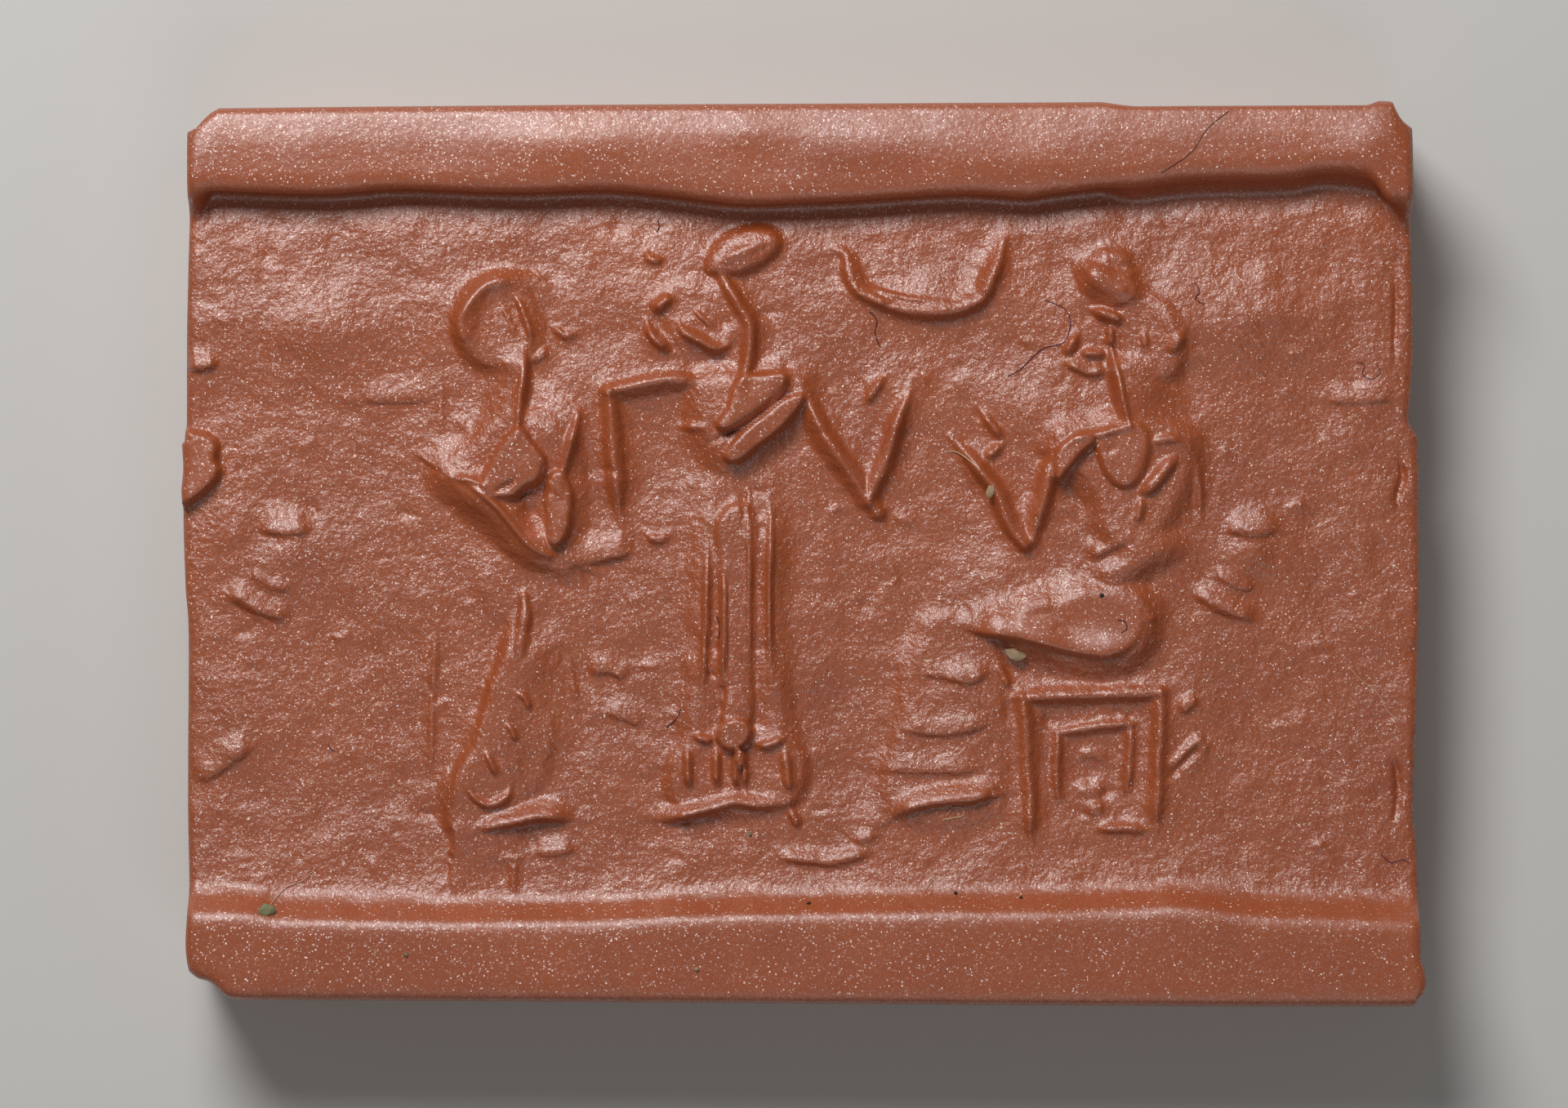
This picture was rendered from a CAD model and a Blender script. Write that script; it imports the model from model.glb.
import math

import bmesh
import bpy
import numpy as np
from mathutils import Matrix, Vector
from mathutils.bvhtree import BVHTree
from mathutils.geometry import delaunay_2d_cdt


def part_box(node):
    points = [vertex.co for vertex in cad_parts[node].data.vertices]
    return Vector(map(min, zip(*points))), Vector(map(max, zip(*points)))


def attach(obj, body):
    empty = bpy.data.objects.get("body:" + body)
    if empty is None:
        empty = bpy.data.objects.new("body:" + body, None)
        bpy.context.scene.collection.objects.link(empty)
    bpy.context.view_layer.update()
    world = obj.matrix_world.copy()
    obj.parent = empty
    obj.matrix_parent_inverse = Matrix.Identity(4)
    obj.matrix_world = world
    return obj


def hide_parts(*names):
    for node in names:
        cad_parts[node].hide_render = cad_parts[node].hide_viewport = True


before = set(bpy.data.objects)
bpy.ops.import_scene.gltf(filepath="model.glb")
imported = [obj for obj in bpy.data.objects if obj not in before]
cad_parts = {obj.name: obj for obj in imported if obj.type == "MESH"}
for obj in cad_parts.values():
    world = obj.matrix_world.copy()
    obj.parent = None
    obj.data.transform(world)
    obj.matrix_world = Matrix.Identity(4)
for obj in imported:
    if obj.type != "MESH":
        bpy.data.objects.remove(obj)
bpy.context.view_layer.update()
mm = 0.001

# The slab that carries the impression, in millimetres. Its size is the frame's own.
slabLow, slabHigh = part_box("impression_slab")
slab = dict(
    length=(slabHigh.x - slabLow.x) / mm,
    width=(slabHigh.y - slabLow.y) / mm,
    thick=(slabHigh.z - slabLow.z) / mm,
    pressDepth=1.0,  # how far the seal sank below the smooth borders
    cell=0.28,  # mesh spacing on the borders, halved on the rolled face and again where it is busy
    ends=0.6,  # how far in from each end the end walls have a say
)
faceLevel = slab["thick"] - slab["pressDepth"]
halfLength = slab["length"] / 2


def scenePoint(x, y, z):  # millimetres from the slab's middle to the frame's metres
    return Vector(((slabLow.x + slabHigh.x) / 2 + x * mm, (slabLow.y + slabHigh.y) / 2 + y * mm, z * mm))


# ---------------------------------------------------------------- curves and noise
def bend(points, steps=6, closed=False):
    # a smooth line through a few points
    p = np.array(points, float)
    count = len(p)
    if count < 3:
        return p
    spans = count if closed else count - 1
    out = []
    for k in range(spans):
        if closed:
            a, b, c, d = (p[(k + j) % count] for j in (-1, 0, 1, 2))
        else:
            a, b, c, d = p[max(k - 1, 0)], p[k], p[k + 1], p[min(k + 2, count - 1)]
        for t in np.arange(steps) / steps:
            cubic = 2 * b + (c - a) * t + (2 * a - 5 * b + 4 * c - d) * t**2 + (3 * b - a - 3 * c + d) * t**3
            out.append(0.5 * cubic)
    if not closed:
        out.append(p[-1])
    return np.array(out)


def smooth(t):
    t = np.clip(t, 0, 1)
    return t * t * (3 - 2 * t)


def along(line, x):
    line = bend(line, 8)
    return np.interp(x, line[:, 0], line[:, 1])


def lumps(x, y, grain, seed):
    # soft lumps of about one grain across, from -1 to 1
    rng = np.random.default_rng(seed)
    table = rng.uniform(-1, 1, (128, 128))
    turn = rng.uniform(0, math.pi)
    u = (x * math.cos(turn) - y * math.sin(turn)) / grain + 500
    v = (x * math.sin(turn) + y * math.cos(turn)) / grain + 500
    i, j = np.floor(u).astype(int), np.floor(v).astype(int)
    s, t = smooth(u - i), smooth(v - j)
    i, j, k, l = i % 128, j % 128, (i + 1) % 128, (j + 1) % 128
    low = table[i, j] * (1 - s) + table[k, j] * s
    high = table[i, l] * (1 - s) + table[k, l] * s
    return low * (1 - t) + high * t


# ---------------------------------------------------------------- the slab's edges and borders
edges = dict(
    left=[(-12.7, -17.2), (-11.9, -17.22), (-11.0, -17.32), (-9.6, -17.27), (-6.9, -17.32), (-2.4, -17.3),
          (-1.0, -17.38), (0.6, -17.44), (1.4, -17.45), (1.8, -17.47), (2.4, -17.42), (3.1, -17.45), (3.4, -17.36),
          (6.3, -17.34), (9.5, -17.28), (12.1, -17.28), (12.7, -17.2)],
    right=[(-12.7, 17.35), (-12.1, 17.45), (-11.6, 17.36), (-11.2, 17.28), (-9.0, 17.26), (-7.9, 17.2),
           (-7.3, 17.14), (-5.4, 17.19), (-3.5, 17.26), (-1.0, 17.3), (2.9, 17.28), (3.3, 17.22), (3.55, 17.08),
           (3.8, 17.0), (4.3, 17.05), (5.9, 17.14), (9.0, 17.08), (12.7, 17.04)],
    bottom=[(-17.5, -11.7), (-17.2, -11.92), (-16.85, -12.0), (-16.5, -12.22), (-16.1, -12.47), (-15, -12.52),
            (-11.1, -12.54), (0.3, -12.62), (10.4, -12.69), (16.7, -12.7), (17.1, -12.66), (17.35, -12.45),
            (17.5, -12.2)],
    top=[(-17.5, 12.0), (-17.25, 12.1), (-17.0, 12.26), (-16.5, 12.46), (-16.0, 12.5), (-6.5, 12.59), (4.9, 12.65),
         (14.0, 12.7), (16.5, 12.69), (16.8, 12.6), (17.0, 12.42), (17.5, 12.1)],
)
band = dict(
    lip=[(-17.5, 10.14), (-16.5, 10.17), (-13.6, 10.08), (-11.4, 10.22), (-9.0, 10.14), (-7.7, 10.13),
         (-5.5, 10.19), (-3.7, 10.03), (-2.6, 9.88), (-1.5, 9.80), (0, 9.84), (1.4, 9.90), (4.3, 10.08),
         (6.2, 9.99), (6.9, 10.08), (8.4, 10.26), (9.8, 10.42), (11.0, 10.56), (13.5, 10.61), (14.5, 10.78),
         (15.6, 10.70), (16.0, 10.42), (16.3, 10.08), (16.7, 9.86), (17.0, 9.92), (17.5, 9.95)],
    step=[(-17.5, -9.62), (-15.5, -9.66), (-14.6, -9.80), (-12, -9.86), (-9, -9.88), (-6, -9.84), (-3, -9.72),
          (0, -9.66), (3, -9.62), (7, -9.6), (9.5, -9.52), (10.5, -9.46), (11.4, -9.55), (12.9, -9.74),
          (15, -9.80), (17.5, -9.9)],
)
# The section across the slab as (line it follows, distance from that line, level), from the
# bottom edge up over the step, the face, the channel under the lip and the lip itself.
t, f = slab["thick"], faceLevel
section = [
    ("bottom", 0, t - 0.42), ("bottom", 0.05, t - 0.16), ("bottom", 0.2, t - 0.05), ("bottom", 0.6, t - 0.01),
    ("step", -0.8, t), ("step", -0.52, t - 0.04), ("step", -0.4, t - 0.12), ("step", -0.2, t - 0.4),
    ("step", -0.02, t - 0.64), ("step", 0.1, t - 0.75), ("step", 0.32, t - 0.86), ("step", 0.75, t - 0.93),
    ("step", 1.5, t - 0.98), ("step", 2.8, f),
    ("lip", -4.0, f), ("lip", -2.6, f - 0.01), ("lip", -1.5, f - 0.04), ("lip", -0.95, f - 0.08),
    ("lip", -0.5, f - 0.15), ("lip", -0.15, f - 0.18), ("lip", -0.02, f - 0.08), ("lip", 0.05, f + 0.2),
    ("lip", 0.02, f + 0.5), ("lip", -0.02, f + 0.7), ("lip", 0.05, f + 0.86), ("lip", 0.2, f + 0.96),
    ("lip", 0.45, t), ("top", -1.0, t - 0.03), ("top", -0.6, t - 0.1), ("top", -0.14, t - 0.2),
    ("top", -0.02, t - 0.32), ("top", 0, t - 0.5),
]
nominal = dict(bottom=-12.6, step=-9.7, lip=10.1, top=12.62)
lines = dict(bottom=edges["bottom"], step=band["step"], lip=band["lip"], top=edges["top"])
rounding = dict(spacing=0.02, passes=24)  # how the section's corners are worn round


def sectionCurve():
    # the section as a fine line: distance along it, y, level, and how far each line's bends carry it
    corners = np.array([(nominal[line] + offset, level) for line, offset, level in section])
    reached = np.concatenate([[0], np.cumsum(np.hypot(*np.diff(corners, axis=0).T))])
    spots = np.linspace(0, reached[-1], round(reached[-1] / rounding["spacing"]))
    curve = np.stack([np.interp(spots, reached, column) for column in corners.T], 1)
    weights = {}
    for line in nominal:
        weights[line] = np.interp(spots, reached, [1.0 if name == line else 0.0 for name, _, _ in section])
    for _ in range(rounding["passes"]):
        curve[1:-1] = (curve[:-2] + 2 * curve[1:-1] + curve[2:]) / 4
    run = np.concatenate([[0], np.cumsum(np.hypot(*np.diff(curve, axis=0).T))])
    cornerRun = {(line, offset): at for (line, offset, _), at in zip(section, np.interp(reached, spots, run))}
    return run, curve, weights, cornerRun


run, sectionPoints, weights, cornerRun = sectionCurve()
sectionLength = run[-1]
stepRun = cornerRun["step", -0.02]
lipRun = cornerRun["lip", -0.15]
lipTop = cornerRun["lip", 0.2]
# the lip leans back on one stretch, and shows its face there, and at both ends
lipLean = dict(start=8.2, end=16.2, back=0.3, atEnds=0.5)


def slabSurface(u, s):
    # the bare surface, without relief: u runs along the slab, s up its section
    y = np.interp(s, run, sectionPoints[:, 0])
    z = np.interp(s, run, sectionPoints[:, 1])
    for line, points in lines.items():
        y = y + np.interp(s, run, weights[line]) * (along(points, u) - nominal[line])
    toEnd = halfLength - np.abs(u)
    onLip = smooth((s - lipRun + 1.6) / 1.6)
    lean = lipLean["back"] * smooth((u - lipLean["start"]) / 1.2) * smooth((lipLean["end"] - u) / 0.5)
    lean = np.maximum(lean, lipLean["atEnds"] * smooth(1.3 - toEnd / slab["ends"]))
    y = y - onLip * lean * np.clip((slab["thick"] - z) / slab["pressDepth"], 0, 1.2)
    nearLeft = smooth(1 - (u + halfLength) / 1.6)
    nearRight = smooth(1 - (halfLength - u) / 1.6)
    x = u + nearLeft * (along(edges["left"], y) + halfLength) + nearRight * (along(edges["right"], y) - halfLength)
    z = z - 0.13 * np.clip(1 - toEnd / 0.22, 0, 1) ** 2
    return x, y, z


# ---------------------------------------------------------------- forms of the relief
def measure(path, x, y):
    # distance from a line, which side of it (+ left), and how far along it, from 0 to 1
    best = np.full(x.shape, 1e9)
    side = np.zeros(x.shape)
    share = np.zeros(x.shape)
    lengths = np.hypot(*np.diff(path, axis=0).T)
    total = lengths.sum()
    start = 0.0
    for (ax, ay), (bx, by), length in zip(path[:-1], path[1:], lengths):
        dx, dy = (bx - ax) / length, (by - ay) / length
        at = np.clip((x - ax) * dx + (y - ay) * dy, 0, length)
        ox, oy = x - ax - at * dx, y - ay - at * dy
        distance = np.hypot(ox, oy)
        nearer = distance < best
        best = np.where(nearer, distance, best)
        side = np.where(nearer, np.sign(dx * (y - ay) - dy * (x - ax)), side)
        share = np.where(nearer, (start + at) / total, share)
        start += length
    return best, side, share


footSpread = 2.2  # how far a raised line's soft foot reaches, against its own width


def ridge(x, y, path, w, h, crest=0.08, lean=0.0, ends=(0.15, 0.15), fade=0.35):
    # a raised line on a soft foot; lean moves its crest to the left (+) or right (-) and steepens that side
    distance, side, share = measure(bend(path), x, y)
    body = np.minimum(ends[0] + (1 - ends[0]) * smooth(share / fade), ends[1] + (1 - ends[1]) * smooth((1 - share) / fade))
    girth = 0.4 + 0.6 * body
    half = w / 2 * girth
    off = distance * side - lean * body
    reach = np.where(off > 0, half - lean * body, half + lean * body)
    top = crest / 2 * girth
    rise = 1 - np.clip((np.abs(off) - top) / np.maximum(reach - top, 0.01), 0, 1)
    foot = smooth(1 - np.abs(off) / (reach * footSpread))
    return h * body * (0.3 * rise + 0.4 * smooth(rise) + 0.3 * foot)


def plate(x, y, edge, h, slope=0.15, dome=0.0, tilt=(0, 0)):
    # a flat-topped form with steep sides; tilt is its rise per millimetre along x and y
    outline = bend(edge, 5, closed=True)
    outline = np.vstack([outline, outline[:1]])
    distance, _, _ = measure(outline, x, y)
    inside = np.zeros(x.shape, bool)
    for (ax, ay), (bx, by) in zip(outline[:-1], outline[1:]):
        if ay != by:
            crossing = (ay > y) != (by > y)
            inside ^= crossing & (x < (bx - ax) * (y - ay) / (by - ay) + ax)
    middle = outline.mean(axis=0)
    top = h + dome * smooth(distance / 0.4) + tilt[0] * (x - middle[0]) + tilt[1] * (y - middle[1])
    fall = np.where(inside, 1, 1 - np.clip(distance / slope, 0, 1))
    return np.maximum(top, 0) * smooth(fall)


def terrace(x, y, path, h, steep=0.3, gentle=1.5, ends=(0.0, 0.0), fade=0.25):
    # a swelling that falls off sharply on the left of its path and dies away slowly on the right
    distance, side, share = measure(bend(path), x, y)
    body = np.minimum(ends[0] + (1 - ends[0]) * smooth(share / fade), ends[1] + (1 - ends[1]) * smooth((1 - share) / fade))
    away = np.where(side > 0, distance / steep, distance / gentle)
    return h * body * smooth(1 - away)


def swell(x, y, at, size, h, turn=0):
    # a broad soft rise or, with a minus, a hollow
    c, s = math.cos(math.radians(turn)), math.sin(math.radians(turn))
    dx, dy = x - at[0], y - at[1]
    return h * np.exp(-(((dx * c + dy * s) / size[0]) ** 2 + ((dy * c - dx * s) / size[1]) ** 2))


def nearForm(x, y, sizes):
    points = np.array(sizes.get("path", sizes.get("edge")))
    margin = max(sizes.get("w", 0) / 2 * footSpread, sizes.get("slope", 0), sizes.get("gentle", 0), 0.3) + 0.2
    low, high = points.min(axis=0) - margin, points.max(axis=0) + margin
    return (x > low[0]) & (x < high[0]) & (y > low[1]) & (y < high[1])


def raiseForms(x, y, forms, cuts):
    # each form meets what is there in a soft edge; cuts are grooves and cracks pressed in afterwards
    height = np.zeros(x.shape)
    for sizes in forms:
        kind = plate if "edge" in sizes else ridge if "w" in sizes else terrace
        near = nearForm(x, y, sizes)
        if near.any():
            height[near] = (height[near] ** 4 + kind(x[near], y[near], **sizes) ** 4) ** 0.25
    for sizes in cuts:
        near = nearForm(x, y, sizes)
        if near.any():
            height[near] -= ridge(x[near], y[near], **sizes)
    return height


# ---------------------------------------------------------------- the standing worshipper
worshipper = dict(
    masses=[
        dict(edge=[(-9.36, 6.99), (-8.79, 7.5), (-8.15, 7.5), (-7.76, 6.81), (-7.83, 5.78), (-8.51, 5.39),
                   (-9.13, 5.67)], h=0.28, slope=0.6),
        dict(path=[(-9.11, 5.35), (-9.34, 5.58), (-9.59, 6.13), (-9.57, 6.63), (-9.31, 7.15),
                   (-8.88, 7.57), (-8.22, 7.7), (-7.53, 7.66)], h=0.4, steep=0.4, gentle=1,
             ends=(0.2, 0.4)),
        dict(edge=[(-9.89, 2.17), (-9.13, 2.93), (-8.38, 3.66), (-7.42, 3.5), (-6.73, 2.7), (-6.69, 0.64),
                   (-7.23, 0.05), (-7.87, 0.41), (-8.79, 1.37)], h=0.3, slope=0.75),
        dict(path=[(-6.73, -0.23), (-7.53, 0.14), (-8.22, 0.82), (-8.97, 1.51), (-9.98, 2.17)], h=0.62,
             steep=0.85, gentle=1.3, ends=(0.5, 0.6)),
        dict(path=[(-7.83, 5.9), (-7.92, 4.53), (-8.01, 3.27)], h=0.42, steep=0.24, gentle=1.35,
             ends=(0.4, 0.8)),
        dict(edge=[(-8.79, -0.5), (-7.42, -0.39), (-7.53, -1.42), (-8.56, -1.53)], h=0.1, slope=0.6),
        dict(path=[(-9.86, -7.59), (-9.79, -6.79), (-9.52, -6.08), (-9.06, -5.35), (-8.79, -4.34),
                   (-8.29, -2.79), (-8.01, -1.42)], h=0.4, steep=0.42, gentle=2.4, ends=(0.7, 0.2)),
        dict(edge=[(-8.79, -4.34), (-7.65, -3.93), (-7.3, -5.07), (-7.65, -6.45), (-9.02, -7.13),
                   (-9.52, -6.45)], h=0.14, slope=0.5),
    ],
    lines=[
        dict(path=[(-7.53, 7.66), (-8.22, 7.7), (-8.88, 7.54), (-9.31, 7.13), (-9.57, 6.63),
                   (-9.59, 6.13), (-9.38, 5.67)], w=0.5, h=0.38, crest=0.08, ends=(0.2, 0.1)),
        dict(path=[(-8.38, 7.5), (-8.01, 7.13), (-7.81, 6.67), (-7.65, 6.13), (-7.76, 5.62)], w=0.36,
             h=0.42),
        dict(path=[(-8.7, 7.27), (-8.42, 6.9), (-8.15, 6.26), (-8.29, 5.81)], w=0.3, h=0.32, crest=0.04),
        dict(path=[(-9.06, 6.99), (-8.83, 6.54), (-8.93, 6.03)], w=0.34, h=0.24, crest=0.04),
        dict(path=[(-7.87, 5.44), (-7.42, 5.58), (-7.23, 5.9)], w=0.4, h=0.2, crest=0.04, ends=(0.4, 0.1)),
        dict(path=[(-7.83, 5.76), (-7.92, 4.75), (-7.97, 3.95), (-8.06, 3.15)], w=0.3, h=0.5, crest=0.06,
             ends=(0.4, 0.9)),
        dict(path=[(-9.98, 2.17), (-9.25, 1.87), (-8.72, 1.44), (-8.19, 0.82), (-7.65, 0.23),
                   (-7.1, -0.07)], w=0.36, h=0.72, crest=0.1, ends=(0.4, 0.6)),
        dict(path=[(-9.93, 2.17), (-9.31, 2.06), (-8.7, 1.78)], w=0.32, h=0.62, crest=0.08,
             ends=(0.5, 0.6)),
        dict(path=[(-6.37, 3.93), (-6.53, 3.15), (-6.78, 2.29), (-6.91, 1.65)], w=0.4, h=0.56, crest=0.06,
             ends=(0.2, 0.9)),
        dict(path=[(-7.87, -1.19), (-7.85, -1.87), (-7.97, -2.67), (-8.1, -3.29)], w=0.5, h=0.44,
             crest=0.2, ends=(0.6, 0.2)),
        dict(path=[(-8.33, -3.89), (-7.87, -4.02), (-7.74, -4.53)], w=0.3, h=0.46),
        dict(path=[(-8.56, -4.71), (-8.24, -4.94), (-8.06, -5.44)], w=0.3, h=0.46),
        dict(path=[(-9.02, -5.39), (-8.77, -5.85), (-8.51, -6.35)], w=0.3, h=0.46),
        dict(path=[(-9.31, -6.17), (-9.36, -6.72), (-8.88, -7.04), (-8.33, -6.77), (-8.15, -6.22)],
             w=0.34, h=0.42),
        dict(path=[(-7.12, 6.45), (-6.73, 6.15), (-6.32, 6.29)], w=0.3, h=0.16),
        dict(path=[(-6.73, -2.51), (-6.55, -3.29), (-6.41, -4.62)], w=0.3, h=0.12, crest=0.02),
        dict(path=[(-10.23, 5.33), (-10.23, 2.97)], w=0.26, h=0.06, crest=0.02),
        dict(path=[(-10.37, -1.19), (-10.41, -3.45), (-10.57, -7.02)], w=0.26, h=0.1, crest=0.02),
        dict(path=[(-9.95, -5.99), (-10.02, -6.79), (-9.93, -7.47)], w=0.5, h=0.12),
        dict(path=[(-8.17, -8.46), (-8.17, -9.55)], w=0.34, h=0.13),
        dict(path=[(-8.7, -8.59), (-7.87, -8.55)], w=0.3, h=0.1),
    ],
    steps=[
        dict(path=[(-4.58, 0.11), (-5.36, -0.07), (-6.02, -0.23), (-6.59, -0.21), (-7.23, 0)], h=0.24,
             steep=0.14, gentle=1.1, ends=(0, 0.6)),
        dict(path=[(-6.37, -7.5), (-7.37, -7.41), (-8.33, -7.61), (-9.43, -7.84)], h=0.42, steep=0.15,
             gentle=0.7, ends=(0.1, 0.4)),
        dict(path=[(-4.99, -3.57), (-5.52, -3.31), (-6.02, -3.41)], h=0.14, steep=0.14, gentle=0.7),
        dict(path=[(-4.49, -4.87), (-5.09, -4.62), (-5.63, -4.43)], h=0.12, steep=0.14, gentle=0.7),
        dict(path=[(-6.37, -8.32), (-6.96, -8.41), (-7.6, -8.37)], h=0.12, steep=0.14, gentle=0.5),
        dict(path=[(-9.47, -8.59), (-10.05, -8.37)], h=0.12, steep=0.14, gentle=0.5),
    ],
    flats=[
        dict(edge=[(-8.03, 3.43), (-7.69, 3.06), (-7.33, 2.65), (-7.51, 2.06), (-7.87, 1.85),
                   (-8.26, 1.65), (-8.74, 1.71), (-8.97, 1.97), (-8.65, 2.65)], h=0.72, slope=0.22),
        dict(edge=[(-7.05, 2.19), (-6.78, 2.24), (-6.59, 1.65), (-6.62, 0.87), (-6.82, 0.37),
                   (-7.07, 0.32), (-7.14, 0.87), (-7.17, 1.55)], h=0.7, slope=0.13),
    ],
)

# ---------------------------------------------------------------- the figure in the middle
attendant = dict(
    masses=[
        dict(path=[(-3.17, -6.9), (-3.07, -5.07), (-2.85, -2.33), (-2.71, 0.87), (-2.39, 1.87)], h=0.2,
             steep=0.7, gentle=1.2, ends=(0.6, 0.3)),
        dict(path=[(-1.11, 2.01), (-0.95, 0.87), (-0.93, -2.33), (-0.74, -4.39), (-0.42, -6.45)], h=0.22,
             steep=0.7, gentle=1.2, ends=(0.3, 0.6)),
        dict(edge=[(-2.3, 0.87), (-1.57, 1.01), (-1.57, -2.33), (-1.61, -4.62), (-2.21, -4.62),
                   (-2.25, -0.73)], h=0.3, slope=0.34),
        dict(edge=[(-2.8, 4.53), (-1.82, 4.75), (-0.56, 4.85), (-0.19, 4.39), (-1.82, 2.79),
                   (-2.57, 3.25)], h=0.32, slope=0.8),
        dict(edge=[(-3.71, 7.31), (-2.39, 7.41), (-1.79, 6.47), (-2.62, 5.9), (-3.49, 6.22)], h=0.16,
             slope=0.5),
        dict(edge=[(-3.23, -5.26), (-0.56, -5.21), (-0.38, -6.9), (-3.39, -7.02)], h=0.2, slope=0.4),
    ],
    lines=[
        dict(path=[(-2.53, 8.14), (-2.16, 7.5), (-1.79, 6.9), (-1.52, 6.4), (-1.54, 5.44), (-1.75, 4.75)],
             w=0.54, h=0.44, crest=0.08, ends=(0.4, 1)),
        dict(path=[(-4.42, 8.57), (-4.29, 8.27), (-3.9, 8.32)], w=0.3, h=0.18),
        dict(path=[(-3.58, 7.31), (-3.94, 7.09), (-4.26, 6.72)], w=0.46, h=0.4),
        dict(path=[(-4.4, 6.54), (-4.22, 6.08), (-3.71, 5.67)], w=0.36, h=0.36),
        dict(path=[(-3.58, 6.81), (-3.39, 6.31), (-2.94, 6.06), (-2.39, 5.83), (-1.89, 6.08)], w=0.46,
             h=0.44, lean=-0.1),
        dict(path=[(-3.17, 6.99), (-2.8, 6.58), (-2.3, 6.26)], w=0.26, h=0.26),
        dict(path=[(-2.62, 4.71), (-3.6, 4.82), (-4.42, 4.69), (-5.45, 4.48)], w=0.74, h=0.42, crest=0.06,
             lean=-0.08, ends=(0.3, 0.8)),
        dict(path=[(-5.45, 4.53), (-5.36, 2.9), (-5.25, 1.55), (-5.18, 0.82)], w=0.72, h=0.44, crest=0.06,
             ends=(0.8, 0.15)),
        dict(path=[(-0.1, 4.75), (0.4, 3.52), (0.79, 2.95), (1.2, 2.38), (1.73, 1.51)], w=0.8, h=0.46,
             crest=0.08, lean=0.06, ends=(0.7, 0.7)),
        dict(path=[(1.82, 1.46), (2.14, 2.24), (2.46, 3.15), (2.71, 3.95), (2.98, 4.66)], w=0.6, h=0.46,
             crest=0.08, ends=(0.8, 0.15)),
        dict(path=[(1.77, 1.65), (2.05, 1.21), (2.27, 0.87)], w=0.6, h=0.3, ends=(0.6, 0.1)),
        dict(path=[(1.68, 4.14), (1.95, 4.57), (2.3, 5.07)], w=0.36, h=0.26),
        dict(path=[(-3.49, 3.61), (-2.94, 3.57), (-2.48, 3.43)], w=0.4, h=0.3),
        dict(path=[(-4.45, 0.59), (-4.1, 0.43), (-3.71, 0.59)], w=0.36, h=0.18),
        dict(path=[(-2.3, 0.53), (-2.27, -2.33), (-2.3, -4.39)], w=0.26, h=0.46, crest=0.06),
        dict(path=[(-1.54, 2.01), (-1.52, -2.33), (-1.57, -4.71)], w=0.26, h=0.46, crest=0.06),
        dict(path=[(-0.95, 2.01), (-0.95, -2.33), (-0.88, -4.39)], w=0.3, h=0.44, crest=0.06),
        dict(path=[(-2.66, 0.87), (-2.78, -2.33), (-2.94, -4.62)], w=0.3, h=0.4, crest=0.06),
        dict(path=[(-3.17, -5.03), (-2.8, -5.14), (-2.39, -5.21)], w=0.34, h=0.4, lean=-0.06),
        dict(path=[(-1.52, -5.39), (-1.04, -5.33), (-0.38, -5.07)], w=0.4, h=0.42, lean=-0.06),
        dict(path=[(-3.17, -5.19), (-3.26, -5.99), (-3.23, -6.86)], w=0.4, h=0.42, crest=0.08),
        dict(path=[(-2.43, -5.21), (-2.43, -6.1), (-2.43, -6.81)], w=0.34, h=0.46, crest=0.1),
        dict(path=[(-1.91, -5.35), (-1.91, -6.1), (-1.93, -6.81)], w=0.22, h=0.48, crest=0.08),
        dict(path=[(-1.63, -5.35), (-1.66, -6.81)], w=0.22, h=0.46, crest=0.06),
        dict(path=[(-0.56, -5.21), (-0.49, -5.99), (-0.38, -6.99)], w=0.44, h=0.4, crest=0.08),
        dict(path=[(-0.42, -7.09), (-0.24, -7.41), (-0.1, -7.73)], w=0.3, h=0.22),
    ],
    steps=[
        dict(path=[(-0.42, -6.99), (-1.27, -7.09), (-1.93, -7.04), (-2.39, -7.13), (-3.35, -7.36),
                   (-4.22, -7.5)], h=0.46, steep=0.16, gentle=0.6, ends=(0.5, 0.1)),
    ],
    flats=[
        dict(edge=[(-2.48, 8.09), (-2.25, 8.55), (-1.75, 8.82), (-1.2, 8.89), (-0.93, 8.71),
                   (-1.25, 8.37), (-1.75, 8.11), (-2.21, 8.05)], h=0.32, slope=0.42, dome=0.16),
        dict(edge=[(-1.75, 4.91), (-1.11, 4.98), (-0.51, 4.98), (-0.79, 4.39), (-1.34, 3.95),
                   (-1.93, 3.61), (-2.39, 3.61), (-2.09, 4.11)], h=0.62, slope=0.2),
        dict(edge=[(-0.01, 4.39), (-0.47, 4.32), (-1.11, 3.84), (-1.7, 3.38), (-2.21, 2.79),
                   (-1.89, 2.65), (-1.25, 3.11), (-0.56, 3.66)], h=0.64, slope=0.13),
        dict(edge=[(-2.37, -4.98), (-2.11, -4.69), (-1.75, -4.69), (-1.54, -4.96), (-1.66, -5.3),
                   (-2.02, -5.46), (-2.3, -5.3)], h=0.62, slope=0.14),
        dict(edge=[(-1.91, -5.55), (-1.79, -5.49), (-1.68, -5.76), (-1.79, -5.99)], h=0.6, slope=0.08),
    ],
)

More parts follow.
